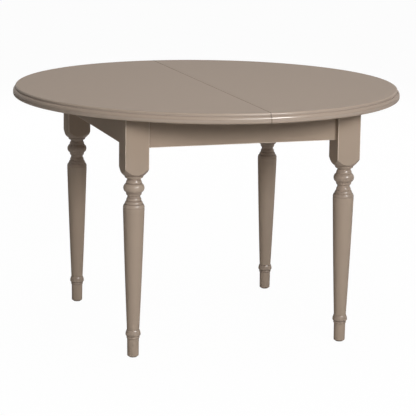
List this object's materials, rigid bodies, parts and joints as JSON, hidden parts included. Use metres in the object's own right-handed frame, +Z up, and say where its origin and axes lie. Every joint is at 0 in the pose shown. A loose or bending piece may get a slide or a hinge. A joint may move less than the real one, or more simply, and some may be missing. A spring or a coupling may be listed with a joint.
{
  "type": "extending round dining table",
  "caption": "Round dining table on turned legs; the top parts along one seam and slides open on geared wooden runners for a folding leaf stored in the frame.",
  "frame": {"origin": "on the floor at the middle of the table", "axes": "+Z up; +X to the right along the front apron, the way the right half top slides; +Y to the back along the seam"},
  "size_m": [1.1999, 1.2, 0.76],
  "materials": {
    "painted_wood": "satin taupe paint",
    "bare_beech": "bare beech, planed",
    "zinc_steel": "zinc plated",
    "hinge_brass": "brass plated",
    "nylon": "moulded nylon, natural",
    "black_rubber": "matt rubber",
    "grey_felt": "pressed felt",
    "glide_plastic": "moulded polythene"
  },
  "bodies": {
    "base_frame": {"leg_front_left": "painted_wood", "leg_front_right": "painted_wood", "leg_back_left": "painted_wood", "leg_back_right": "painted_wood", "apron_front": "painted_wood", "apron_back": "painted_wood", "apron_left": "painted_wood", "apron_right": "painted_wood", "corner_block_front_left": "bare_beech", "corner_block_front_right": "bare_beech", "corner_block_back_left": "bare_beech", "corner_block_back_right": "bare_beech", "hanger_bolts": "zinc_steel", "bolt_washers": "zinc_steel", "bolt_nuts": "zinc_steel", "corner_block_screws": "zinc_steel", "foot_glides": "glide_plastic", "apron_glide_pads": "nylon", "slide_centre_front": "bare_beech", "slide_centre_back": "bare_beech", "pinion_axle_front": "zinc_steel", "pinion_axle_back": "zinc_steel", "slide_bumpers": "black_rubber", "leaf_bearer_left": "bare_beech", "leaf_bearer_right": "bare_beech", "leaf_felt_pads": "grey_felt", "leaf_guide_blocks": "bare_beech", "leaf_panel_lower": "painted_wood", "leaf_panel_upper": "painted_wood", "leaf_dowels": "bare_beech", "leaf_hinge_plates_lower": "hinge_brass", "leaf_hinge_plates_upper": "hinge_brass", "leaf_hinge_pins": "hinge_brass", "leaf_hinge_screws": "zinc_steel"},
    "top_left_half": {"top_left": "painted_wood", "runner_left_front": "bare_beech", "runner_left_back": "bare_beech", "rack_left_front": "nylon", "rack_left_back": "nylon", "runner_screws_left": "zinc_steel", "seam_dowels": "bare_beech", "lock_plates": "zinc_steel", "lock_pivots": "zinc_steel", "lock_screws_left": "zinc_steel"},
    "top_right_half": {"top_right": "painted_wood", "runner_right_front": "bare_beech", "runner_right_back": "bare_beech", "rack_right_front": "nylon", "rack_right_back": "nylon", "runner_screws_right": "zinc_steel", "lock_keepers": "zinc_steel", "lock_screws_right": "zinc_steel"},
    "front_pinion": {"pinion_front": "nylon"},
    "back_pinion": {"pinion_back": "nylon"},
    "front_lock": {"lock_lever_front": "zinc_steel"},
    "back_lock": {"lock_lever_back": "zinc_steel"}
  },
  "joints": [
    {"name": "top_left_slide", "type": "slide", "parent": "base_frame", "child": "top_left_half", "axis": [-1, 0, 0], "range_m": [0, 0.205]},
    {"name": "top_right_slide", "type": "slide", "parent": "base_frame", "child": "top_right_half", "axis": [1, 0, 0], "range_m": [0, 0.205]},
    {"name": "front_pinion_spin", "type": "hinge", "parent": "base_frame", "child": "front_pinion", "pos_m": [0, -0.257, 0.712], "axis": [0, 0, -1], "range_deg": [0, 653]},
    {"name": "back_pinion_spin", "type": "hinge", "parent": "base_frame", "child": "back_pinion", "pos_m": [0, 0.257, 0.712], "axis": [0, 0, -1], "range_deg": [0, 653]},
    {"name": "front_lock_swing", "type": "hinge", "parent": "top_left_half", "child": "front_lock", "pos_m": [-0.028, -0.481, 0.7262], "axis": [0, 0, -1], "range_deg": [0, 90]},
    {"name": "back_lock_swing", "type": "hinge", "parent": "top_left_half", "child": "back_lock", "pos_m": [-0.028, 0.481, 0.7262], "axis": [0, 0, 1], "range_deg": [0, 90]}
  ],
  "couplings": [
    {"joint": "top_right_slide", "follows": "top_left_slide", "ratio": 1},
    {"joint": "front_pinion_spin", "follows": "top_left_slide", "rad_per_m": 55.556},
    {"joint": "back_pinion_spin", "follows": "top_left_slide", "rad_per_m": 55.556}
  ]
}
